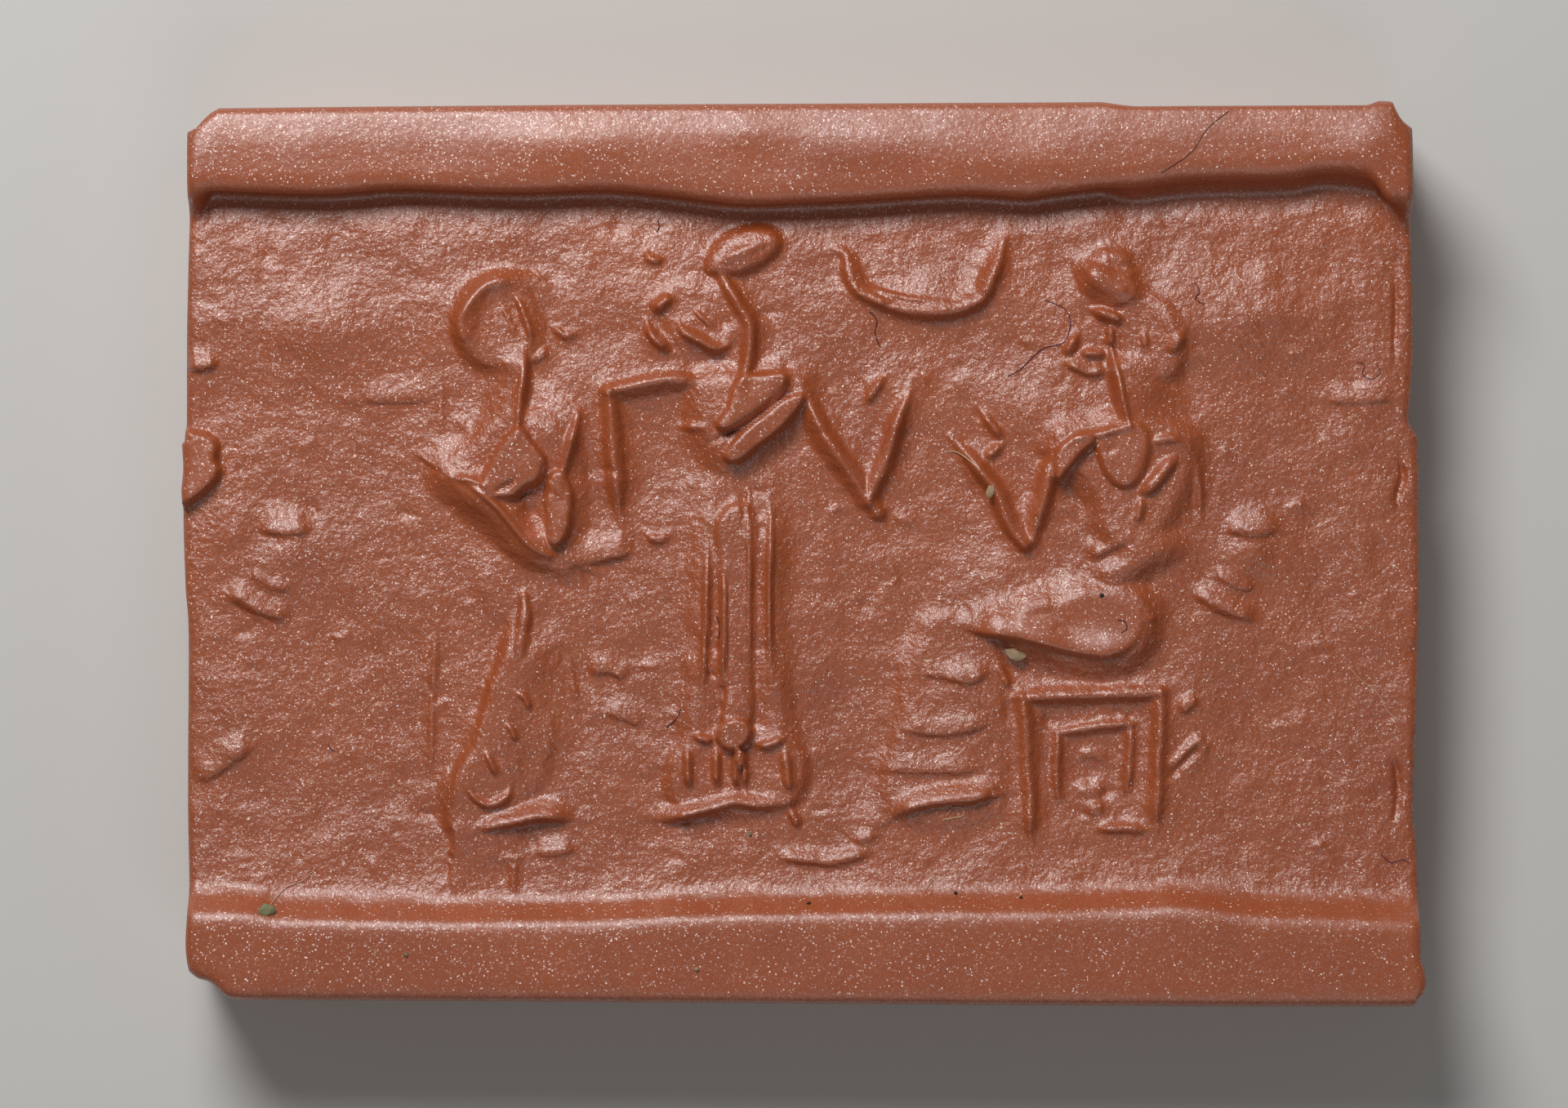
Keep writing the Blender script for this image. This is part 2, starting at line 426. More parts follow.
# ---------------------------------------------------------------- the seated figure
seated = dict(
    masses=[
        dict(path=[(9.04, 3.04), (8.93, 4.3), (8.77, 5.1), (8.63, 5.78)], h=0.44, steep=0.34, gentle=1.9,
             ends=(0.8, 0.1)),
        dict(edge=[(9.04, 6.7), (9.95, 6.93), (10.41, 5.9), (10.23, 5.1), (9.31, 5.33)], h=0.2, slope=0.5),
        dict(edge=[(7.21, 3.04), (8.13, 3.38), (9.15, 3.57), (10.59, 3.04), (10.41, 1.78), (9.61, 0.41),
                   (8.86, 0.41), (8.35, 1.78)], h=0.36, slope=0.8),
        dict(path=[(7.9, -1.01), (8.86, -0.5), (9.95, 0.14), (10.64, 0.87)], h=0.36, steep=1, gentle=0.8,
             ends=(0.2, 0.2)),
        dict(edge=[(3.55, -2.1), (5.04, -2.33), (5.38, -4.21), (5.27, -7.02), (2.64, -7.13),
                   (2.82, -4.8)], h=0.16, slope=0.6),
        dict(path=[(10.07, -3.93), (10.05, -5.99), (9.95, -7.59)], h=0.12, steep=0.8, gentle=0.5,
             ends=(0.6, 0.3)),
        dict(path=[(6.11, -8.05), (5.98, -5.99), (5.84, -4.16)], h=0.1, steep=0.5, gentle=0.4,
             ends=(0.3, 0.6)),
    ],
    lines=[
        dict(path=[(7.53, 8.3), (8.17, 7.89), (8.95, 7.45), (9.68, 7.09)], w=1.5, h=0.54, crest=0.08,
             lean=-0.08, ends=(0.1, 0.3)),
        dict(path=[(7.94, 8.32), (8.81, 8.27), (9.31, 7.95)], w=0.9, h=0.3, ends=(0.3, 0.3)),
        dict(path=[(7.97, 6.9), (8.54, 6.72), (9.15, 6.45)], w=0.44, h=0.42, crest=0.1),
        dict(path=[(8.61, 6.51), (8.61, 5.71)], w=0.3, h=0.3),
        dict(path=[(7.67, 5.62), (8.56, 5.6)], w=0.3, h=0.3),
        dict(path=[(7.69, 6.24), (7.49, 5.85), (7.33, 5.49)], w=0.34, h=0.28),
        dict(path=[(8.65, 5.67), (8.81, 4.96), (8.93, 4.32), (9.11, 3.57)], w=0.36, h=0.56, crest=0.06,
             lean=0.04, ends=(0.5, 0.9)),
        dict(path=[(9.54, 6.35), (9.57, 5.62)], w=0.4, h=0.3),
        dict(path=[(10.69, 6.35), (10.41, 5.9), (10.14, 5.49)], w=0.54, h=0.32, crest=0.14),
        dict(path=[(9.11, 3.59), (8.15, 3.38), (7.67, 3.29), (7.21, 2.93)], w=0.4, h=0.62, crest=0.08,
             lean=0.04, ends=(0.8, 0.5)),
        dict(path=[(7.21, 2.93), (6.94, 2.42), (6.78, 1.78), (6.39, 0.34)], w=0.66, h=0.48,
             ends=(0.8, 0.5)),
        dict(path=[(4.15, 3.25), (4.63, 2.74), (5.04, 2.26), (5.43, 1.78), (5.75, 0.91), (6.21, 0.27)],
             w=0.6, h=0.44, lean=-0.04, ends=(0.15, 0.9)),
        dict(path=[(4.93, 4.07), (5.29, 3.61), (5.63, 3.15)], w=0.34, h=0.24),
        dict(path=[(5.63, 3.15), (5.34, 2.86), (5.02, 2.58)], w=0.32, h=0.22),
        dict(path=[(9.5, 2.93), (9.91, 3.15), (10.41, 3.2), (10.78, 2.88)], w=0.44, h=0.44),
        dict(path=[(10.73, 2.93), (10.18, 2.51), (9.77, 2.01), (9.15, 1.46)], w=0.62, h=0.6, crest=0.16,
             lean=0.05),
        dict(path=[(9.45, 1.78), (9.41, 1.23), (9.22, 0.69)], w=0.46, h=0.42),
        dict(path=[(10.91, 3.27), (11.07, 2.13), (11.12, 0.85)], w=0.34, h=0.2, crest=0.06),
        dict(path=[(9.41, -1.87), (9.68, -1.83), (9.95, -1.87)], w=0.28, h=0.36),
        dict(path=[(5.29, -2.9), (5.52, -3.34), (5.84, -3.93)], w=0.36, h=0.2),
    ],
    steps=[
        dict(path=[(9.45, -1.83), (9.34, -2.29), (8.97, -2.67), (8.4, -2.83), (7.51, -2.74),
                   (6.82, -2.58), (5.98, -2.35), (4.95, -2.24), (4.15, -1.97)], h=0.62, steep=0.15,
             gentle=1.35, ends=(0.5, 0.1)),
        dict(path=[(8.58, 5.21), (8.1, 5.07), (7.67, 5.21), (7.28, 5.44)], h=0.24, steep=0.16, gentle=0.5,
             ends=(0.2, 0.2)),
        dict(path=[(9.59, 0.46), (9.27, 0.32), (8.49, -0.02), (7.94, -0.27)], h=0.34, steep=0.16,
             gentle=0.7, ends=(0.3, 0.1)),
    ],
    flats=[
        dict(edge=[(8.35, 3.29), (9.13, 3.59), (9.54, 3.29), (9.45, 2.61), (9.22, 2.1), (8.86, 2.01),
                   (8.49, 2.56)], h=0.54, slope=0.4),
        dict(edge=[(7.17, 2.88), (7.49, 3.2), (7.85, 3.29), (8.13, 3.2), (7.76, 2.88), (7.39, 2.42),
                   (7.12, 2.15)], h=0.7, slope=0.13),
        dict(edge=[(6.34, -1.69), (7.12, -1.46), (7.78, -1.33), (8.51, -1.28), (9.09, -1.44),
                   (9.41, -1.78), (9.29, -2.29), (8.97, -2.65), (8.45, -2.81), (7.51, -2.72),
                   (6.82, -2.56), (6.16, -2.33)], h=0.44, slope=0.95, tilt=(0.02, -0.02)),
    ],
)
flounces = dict(
    tiers=[  # lower edges of the skirt's tiers, from the right
        [(5.4, -3.15), (4.95, -3.45), (4.55, -3.58), (3.95, -3.46), (2.95, -3.28)],
        [(5.3, -4.4), (5.1, -4.8), (4.6, -4.97), (3.95, -5.05), (3.0, -4.95), (2.5, -4.83)],
        [(5.4, -5.85), (4.6, -6.13), (3.95, -6.12), (3.15, -6.15), (1.85, -6.02)],
    ],
    steep=0.2, gentle=1.05, h=0.27, ends=(0.3, 0.15),
    feet=dict(path=[(5.9, -6.72), (5.2, -6.82), (4.6, -6.95), (3.95, -7.0), (3.15, -7.14), (2.7, -7.3), (2.2, -7.6)],
              h=0.48, steep=0.15, gentle=0.85, ends=(0.2, 0.15)),
)
stool = dict(
    rail=dict(w=0.6, h=0.32, crest=0.06, fade=0.2),
    inner=dict(w=0.36, h=0.22, crest=0.04, ends=(0.6, 0.6), fade=0.2),
    rails=[  # seat, front leg and back leg, each with how whole its two ends are
        dict(path=[(5.75, -4.08), (6.6, -4.0), (8.2, -3.93), (10.0, -3.88)], lean=-0.05, ends=(0.3, 0.8)),
        dict(path=[(6.13, -4.05), (6.2, -4.8), (6.27, -5.65), (6.35, -6.9), (6.36, -8.2)], ends=(0.9, 0.15)),
        dict(path=[(10.02, -3.9), (9.99, -5.25), (9.95, -6.45), (9.87, -7.8)], ends=(0.8, 0.2)),
    ],
    frame=[
        [(7.1, -5.05), (7.85, -4.92), (8.45, -4.83), (9.25, -4.78)],
        [(7.14, -5.0), (7.1, -5.9), (7.12, -6.8)],
        [(9.22, -4.8), (9.15, -5.6), (9.05, -6.6)],
        [(8.4, -7.75), (9.0, -7.7), (9.5, -7.78)],
    ],
    rear=[
        dict(path=[(10.45, -4.5), (10.8, -4.2), (11.1, -4.35)], w=0.6, h=0.2),
        dict(path=[(11.35, -5.1), (10.8, -5.65), (10.3, -6.2)], h=0.2, steep=0.6, gentle=0.4),
    ],
    panel=[  # the clay inside the frame is lumpy
        dict(path=[(7.6, -5.8), (8.1, -5.6), (8.5, -5.9)], w=0.4, h=0.1),
        dict(path=[(7.5, -6.5), (8.0, -6.7), (8.6, -6.5)], w=0.5, h=0.1),
        dict(path=[(7.9, -7.2), (8.5, -7.15)], w=0.5, h=0.12),
    ],
)
crescent = dict(
    outer=[(0.88, 8.55), (1.2, 8.4), (1.33, 7.95), (1.6, 7.45), (2.2, 7.12), (2.75, 6.95), (3.35, 6.87), (4.0, 6.9),
           (4.45, 7.0), (4.95, 7.28), (5.17, 7.75), (5.4, 8.2), (5.62, 8.82)],
    inner=[(1.45, 7.8), (1.95, 7.45), (2.5, 7.23), (3.15, 7.12), (3.8, 7.12), (4.4, 7.27)],
)
# Marks on the plain stretches, some of which come round again one turn of the seal later.
turnOfSeal = 27.15
marks = dict(
    repeated=[
        dict(path=[(-10.5, 4.35), (-11.5, 4.3), (-12.5, 4.3)], h=0.12, steep=0.12, gentle=0.8, ends=(0.3, 0.2)),
        dict(path=[(-13.7, 0.75), (-14.55, 0.55), (-15.4, 0.75)], h=0.16, steep=0.16, gentle=0.9),
        dict(path=[(-14.4, -1.0), (-15.0, -0.9), (-15.7, -0.5)], h=0.14, steep=0.2, gentle=0.5),
        dict(path=[(-14.3, -1.85), (-15.3, -1.6), (-16.3, -1.0)], h=0.2, steep=0.25, gentle=0.6),
        dict(path=[(-15.3, -1.3), (-14.8, -0.2), (-13.9, 0.1)], h=0.1, steep=0.9, gentle=0.9),
    ],
    single=[
        dict(path=[(-17.2, -6.4), (-16.4, -6.05), (-15.4, -5.3)], h=0.16, steep=0.8, gentle=0.22),
        dict(path=[(2.1, -8.25), (1.55, -8.5), (0.75, -8.7), (-0.1, -8.62), (-0.95, -8.5)], h=0.2, steep=0.16, gentle=0.5),
        dict(path=[(1.4, -8.2), (1.8, -7.95), (2.1, -8.1)], w=0.5, h=0.14),
        dict(path=[(-16.4, 5.35), (-16.9, 5.2), (-17.4, 5.25)], h=0.2, steep=0.14, gentle=0.6),
    ],
    scrap=dict(edge=[(-17.8, 3.25), (-17.1, 3.3), (-16.6, 3.1), (-16.62, 2.6), (-16.5, 2.3), (-16.8, 1.9), (-17.3, 1.5),
                     (-17.8, 1.5)], h=0.46, slope=0.2),
)


def allForms():
    forms = []
    for figure in (worshipper, attendant, seated):
        forms += figure["masses"] + figure["lines"] + figure["steps"] + figure["flats"]
    tier = {name: flounces[name] for name in ("steep", "gentle", "h", "ends")}
    forms += [dict(path=path, **tier) for path in flounces["tiers"]] + [flounces["feet"]]
    forms += [dict(rail, **stool["rail"]) for rail in stool["rails"]]
    forms += [dict(path=path, **stool["inner"]) for path in stool["frame"]] + stool["rear"] + stool["panel"]
    forms.append(dict(path=crescent["outer"], w=0.66, h=0.34, lean=-0.1, ends=(0.3, 0.3), fade=0.15))
    forms.append(dict(path=crescent["inner"], w=0.26, h=0.24))
    for mark in marks["repeated"]:
        forms.append(mark)
        forms.append(dict(mark, path=[(x + turnOfSeal, y) for x, y in mark["path"]]))
    return forms + marks["single"] + [marks["scrap"]] + folds


cuts = [
    dict(path=[(-8.72, 1.74), (-8.3, 1.95), (-8.0, 2.15)], w=0.14, h=0.2, crest=0.02, ends=(0.2, 0.2)),  # chest cracks
    dict(path=[(-8.15, 1.45), (-7.8, 1.8), (-7.45, 2.05)], w=0.22, h=0.14),
    dict(path=[(-7.9, 1.45), (-7.65, 0.9), (-7.4, 0.45)], w=0.8, h=0.22),  # the hollow inside the bent arm
    dict(path=[(-0.42, 4.95), (-0.92, 4.28), (-1.35, 3.92), (-2.1, 3.45), (-2.95, 2.9)], w=0.18, h=0.2, crest=0.02),
    dict(path=[(-1.72, 2.0), (-1.72, 0.8)], w=0.14, h=0.1, crest=0.02),  # pleats
    dict(path=[(-1.5, 2.0), (-1.5, -2.3), (-1.6, -4.6)], w=0.15, h=0.13, crest=0.02),
    dict(path=[(-2.32, 0.5), (-2.33, -3.1)], w=0.15, h=0.12, crest=0.02),
    dict(path=[(-2.75, -3.35), (-2.5, -3.42)], w=0.25, h=0.12),
    dict(path=[(-2.25, -3.55), (-2.38, -4.65)], w=0.2, h=0.16),
    dict(path=[(9.48, 0.41), (8.5, -0.02), (8.0, -0.23)], w=0.2, h=0.12),
    dict(path=[(6.2, -1.76), (6.8, -1.67), (7.28, -1.76)], w=0.12, h=0.05, crest=0.02),  # crease on the thigh
    dict(path=[(11.3, -5.2), (10.75, -5.8), (10.15, -6.4)], w=0.3, h=0.12),
    dict(path=[(10.4, -6.25), (10.85, -5.75), (11.25, -5.3)], w=0.3, h=0.1),
    dict(path=[(16.6, 8.0), (16.66, 6.8), (16.6, 5.3)], w=0.2, h=0.1),  # tears along the right end
    dict(path=[(16.72, 2.8), (16.85, 2.2), (16.7, 1.5), (16.82, 1.2)], w=0.22, h=0.16),
    dict(path=[(16.55, -5.6), (16.72, -6.6), (16.55, -7.7)], w=0.3, h=0.12),
]


creases = dict(count=190, seed=41, length=(0.25, 0.9), width=(0.16, 0.36), height=0.06)


def smallCreases():
    # short folds and dents all over the face, most of them lying along the strip
    rng = np.random.default_rng(creases["seed"])
    folds, dents = [], []
    for _ in range(creases["count"]):
        x, y = rng.uniform(-halfLength + 0.5, halfLength - 0.5), rng.uniform(-9.3, 9.3)
        turn = rng.normal(0, 0.55)
        long, bow = rng.uniform(*creases["length"]) / 2, rng.normal(0, 0.08)
        dx, dy = math.cos(turn) * long, math.sin(turn) * long
        path = [(x - dx, y - dy), (x - dy * bow * 4, y + dx * bow * 4), (x + dx, y + dy)]
        size = dict(path=path, w=rng.uniform(*creases["width"]), h=creases["height"] * rng.uniform(0.4, 1))
        (folds if rng.random() < 0.5 else dents).append(size)
    return folds, dents


folds, dents = smallCreases()


def allCuts():
    return cuts + dents


# The face was never flat: the clay heaved round the seal as it turned.
swells = [
    dict(at=(5.4, -1.0), size=(1.2, 1.1), h=0.2),
    dict(at=(7.2, -3.1), size=(1.6, 0.5), h=-0.12),
    dict(at=(8.1, -6.0), size=(1.5, 1.7), h=-0.14),
    dict(at=(-8.3, 3.4), size=(2.4, 4.2), h=0.16),
    dict(at=(-1.9, 1.0), size=(2.6, 6.0), h=0.14),
    dict(at=(8.5, 2.0), size=(3.2, 5.5), h=0.16),
    dict(at=(-13.7, 6.5), size=(1.9, 1.15), h=0.3),
    dict(at=(-10.2, 6.6), size=(1.1, 1.2), h=0.14),
    dict(at=(-6.7, 3.8), size=(0.9, 1.0), h=0.26),
    dict(at=(-5.6, 5.0), size=(1.4, 0.9), h=0.16),
    dict(at=(-4.2, 6.9), size=(2.0, 1.3), h=0.12),
    dict(at=(0.6, 6.6), size=(1.2, 1.3), h=0.12),
    dict(at=(3.4, 7.3), size=(1.5, 0.7), h=0.2),
    dict(at=(2.8, 4.6), size=(0.9, 0.9), h=0.16),
    dict(at=(6.0, 4.2), size=(1.6, 1.0), h=0.18),
    dict(at=(10.4, 6.6), size=(0.7, 1.0), h=0.16),
    dict(at=(12.4, 6.6), size=(1.9, 1.2), h=0.26),
    dict(at=(12.6, 0.4), size=(1.0, 0.9), h=0.14),
    dict(at=(12.2, -2.6), size=(1.3, 1.2), h=0.14),
    dict(at=(-14.2, -0.3), size=(1.6, 1.2), h=0.14),
    dict(at=(-11.3, -1.4), size=(1.0, 1.2), h=0.08),
    dict(at=(-16.2, 1.0), size=(0.9, 1.6), h=0.14),
    dict(at=(-16.4, 6.4), size=(0.9, 1.4), h=0.12),
    dict(at=(-16.0, -4.5), size=(1.2, 1.2), h=0.14),
    dict(at=(-13.0, -4.0), size=(3.0, 4.0), h=-0.08),
    dict(at=(14.2, -3.0), size=(2.2, 5.0), h=-0.08),
    dict(at=(4.4, 1.0), size=(1.8, 2.6), h=-0.1),
    dict(at=(-3.9, 2.4), size=(1.0, 1.4), h=-0.12),
    dict(at=(-10.9, -5.5), size=(1.0, 2.4), h=-0.06),
    dict(at=(1.4, -4.6), size=(1.4, 2.0), h=-0.1),
]


borderSwells = [  # the same on the top border
    dict(at=(-6.4, 11.45), size=(1.7, 0.6), h=0.09),
    dict(at=(-1.6, 11.8), size=(1.1, 0.5), h=0.07),
    dict(at=(2.2, 11.35), size=(1.7, 0.6), h=0.09),
    dict(at=(6.0, 11.0), size=(2.1, 0.55), h=0.08),
    dict(at=(16.0, 11.5), size=(0.9, 0.8), h=0.09),
]


def faceShare(s):
    # 1 on the rolled face, 0 on the borders
    return smooth((s - stepRun - 0.1) / 0.5) * smooth((lipRun - 0.2 - s) / 0.5)


def relief(x, y, s):
    # lines waver and swell a little, as hand-cut ones do
    waver = 0.035
    x, y = x + waver * lumps(x, y, 0.9, 31), y + waver * lumps(x, y, 0.9, 32)
    strength = 1 + 0.12 * lumps(x, y, 1.1, 33)
    return strength * raiseForms(x, y, allForms(), allCuts()) * smooth((s - stepRun) / 0.2) * smooth((lipRun - s) / 0.2)


def calmness(s, height):
    # 1 on the smooth borders and on the flattest tops, 0 on the rough face
    return np.maximum(1 - faceShare(s), smooth((height - 0.36) / 0.06))


def unevenness(x, y, s, calm):
    face = faceShare(s)
    broad = face * sum(swell(x, y, **shape) for shape in swells)
    broad = broad + sum(swell(x, y, **shape) for shape in borderSwells)
    rough = 0.045 * lumps(x, y, 1.5, 3) + 0.034 * lumps(x, y, 0.7, 4) + 0.02 * lumps(x, y, 0.36, 5)
    smoothed = 0.034 * lumps(x, y, 2.6, 7) + 0.012 * lumps(x, y, 0.9, 8)
    torn = 0.035 * lumps(x, y, 0.7, 9) + 0.022 * lumps(x, y, 0.32, 10)
    onStep = np.exp(-((s - stepRun + 0.2) / 0.45) ** 2)
    return broad + (1 - calm) * rough + calm * smoothed + onStep * torn


# ---------------------------------------------------------------- the slab's mesh
def splitCells(cells, size, wanted):
    # cells are lower left corners; those wanted are cut in four
    keep = cells[~wanted]
    cut = cells[wanted]
    half = size / 2
    quarters = np.concatenate([cut + offset for offset in ((0, 0), (half, 0), (0, half), (half, half))])
    return keep, quarters


def heightAt(u, s):
    x, y, z = slabSurface(u, s)
    return relief(x, y, s)


def meshPlan():
    # points of the surface plan, closer together where the relief has edges
    big = slab["cell"]
    columns = round(slab["length"] / big)
    rows = round(sectionLength / big)
    sizeU, sizeS = slab["length"] / columns, sectionLength / rows
    grid = np.stack(np.meshgrid(np.arange(columns), np.arange(rows), indexing="ij"), -1).reshape(-1, 2).astype(float)

    def place(points):
        return points[:, 0] * sizeU - halfLength, points[:, 1] * sizeS

    middleS = (grid[:, 1] + 0.5) * sizeS
    middleU = (grid[:, 0] + 0.5) * sizeU - halfLength
    onFace = (middleS > stepRun - 1.1) & (middleS < lipRun + 2.0)
    rim = (np.abs(middleU) > halfLength - 0.5) | (middleS < 1.0) | (middleS > sectionLength - 1.0)
    plain, cells = splitCells(grid, 1.0, onFace | rim)
    points = [plain, plain + (1, 0), plain + (0, 1), plain + (1, 1)]
    corners = [cells + offset for offset in ((0, 0), (0.5, 0), (0, 0.5), (0.5, 0.5), (0.25, 0.25))]
    levels = np.array([heightAt(*place(corner)) for corner in corners])
    centreU, centreS = place(cells + 0.25)
    busy = np.ptp(levels, axis=0) > 0.05
    busy |= np.abs(levels[4] - levels[:4].mean(axis=0)) > 0.012
    busy |= (np.abs(centreS - (lipRun + lipTop) / 2) < 0.75) | (np.abs(centreS - stepRun + 0.25) < 0.35)
    busy |= np.abs(centreU) > halfLength - 0.2
    plain, cells = splitCells(cells, 0.5, busy)
    points += [plain + offset for offset in ((0, 0), (0.5, 0), (0, 0.5), (0.5, 0.5))]
    points += [cells + offset for offset in ((0, 0), (0.25, 0), (0, 0.25), (0.25, 0.25))]
    every = np.unique(np.round(np.concatenate(points) * 4).astype(int), axis=0)
    u, s = place(every / 4)
    return u, s, every


walls = dict(levels=(0.86, 0.66, 0.45, 0.25, 0.1, 0.035, 0), inset=(0.02, 0.03, 0.05, 0.06, 0.08, 0.13, 0.24))


def buildSlab():
    u, s, every = meshPlan()
    print("slab: surface plan of", len(u), "points")
    flat = [Vector((a, b)) for a, b in zip(u.tolist(), s.tolist())]
    _, _, faces, *_ = delaunay_2d_cdt(flat, [], [], 0, 1e-7, False)
    x, y, z = slabSurface(u, s)
    height = relief(x, y, s)
    calm = calmness(s, height)
    z = z + height + unevenness(x, y, s, calm)
    print("slab: relief raised,", len(faces), "triangles on the face")

    # the four sides of the plan, as one loop of points round the slab
    most = every.max(axis=0)
    order = np.arange(len(u))
    west = sorted(order[every[:, 0] == 0], key=lambda k: every[k, 1])
    east = sorted(order[every[:, 0] == most[0]], key=lambda k: every[k, 1])
    south = sorted(order[every[:, 1] == 0], key=lambda k: every[k, 0])
    north = sorted(order[every[:, 1] == most[1]], key=lambda k: every[k, 0])
    loop = south[:-1] + east[:-1] + north[:0:-1] + west[:0:-1]
    vertices = [scenePoint(*p) for p in zip(x.tolist(), y.tolist(), z.tolist())]
    previous = loop
    rimX, rimY, rimZ = x[loop], y[loop], z[loop]
    inX = -np.sign(u[loop]) * np.clip(1 - (halfLength - np.abs(u[loop])) / slab["ends"], 0, 1)
    inY = np.clip(1 - (rimY - along(edges["bottom"], u[loop])) / slab["ends"], 0, 1)
    inY -= np.clip(1 - (along(edges["top"], u[loop]) - rimY) / slab["ends"], 0, 1)
    for share, inset in zip(walls["levels"], walls["inset"]):
        drag = 0.04 * lumps(rimX + rimY, rimX - rimY + share * 3, 0.9, 21)
        depth = inset + 0.05 + drag
        ringX, ringY = rimX + inX * depth, rimY + inY * depth
        start = len(vertices)
        vertices += [scenePoint(*p) for p in zip(ringX.tolist(), ringY.tolist(), (rimZ * share).tolist())]
        ring = list(range(start, start + len(loop)))
        for k in range(len(loop)):
            n = (k + 1) % len(loop)
            faces.append((previous[n], previous[k], ring[k], ring[n]))
        previous = ring
    wallEnd = len(faces)
    middle = len(vertices)
    vertices.append(scenePoint(0, 0, 0))
    faces += [(previous[(k + 1) % len(loop)], previous[k], middle) for k in range(len(loop))]
    mesh = bpy.data.meshes.new("rolledSlab")
    mesh.from_pydata(vertices, [], faces)
    mesh.update()
    field = mesh.attributes.new("calm", "FLOAT", "POINT")
    field.data.foreach_set("value", np.concatenate([calm, np.full(len(vertices) - len(calm), 0.4)]))
    mesh.polygons.foreach_set("use_smooth", [k < wallEnd for k in range(len(mesh.polygons))])
    piece = bpy.data.objects.new("rolledSlab", mesh)
    bpy.context.scene.collection.objects.link(piece)
    print("slab:", sum(len(p.vertices) - 2 for p in mesh.polygons), "triangles in all")
    return piece


# ---------------------------------------------------------------- materials
def hexColour(code):
    # an sRGB hex value as linear red, green, blue and alpha
    parts = [int(code[k:k + 2], 16) / 255 for k in (1, 3, 5)]
    return (*[p / 12.92 if p <= 0.04045 else ((p + 0.055) / 1.055) ** 2.4 for p in parts], 1.0)


def addNode(tree, kind, settings=None, **links):
    node = tree.nodes.new(kind)
    for name, value in (settings or {}).items():
        if isinstance(name, int) or name in node.inputs:
            node.inputs[name].default_value = value
        else:
            setattr(node, name, value)
    for name, source in links.items():
        tree.links.new(source, node.inputs[name.replace("_", " ")])
    return node


def newMaterial(name):
    material = bpy.data.materials.new(name)
    material.use_nodes = True
    tree = material.node_tree
    tree.nodes.clear()
    return material, tree, tree.nodes.new("ShaderNodeOutputMaterial")


clay = dict(
    body="#b35622",  # the clay itself, which steep slopes show
    shade="#9c461a",
    flakeSize=0.036,  # mm, a ground mica flake
    flakeShare=0.6,  # how much of the face the larger flakes cover
    flakeShine=0.7,
    flakeTilt=0.6,  # how far a flake leans, as a slope
    lumpSize=0.24,  # mm
    lumpDepth=0.06,
    roughness=0.43,
    ior=1.85,  # pearlescent mica lies between plain mica, 1.6, and its oxide coat, 2.4
)


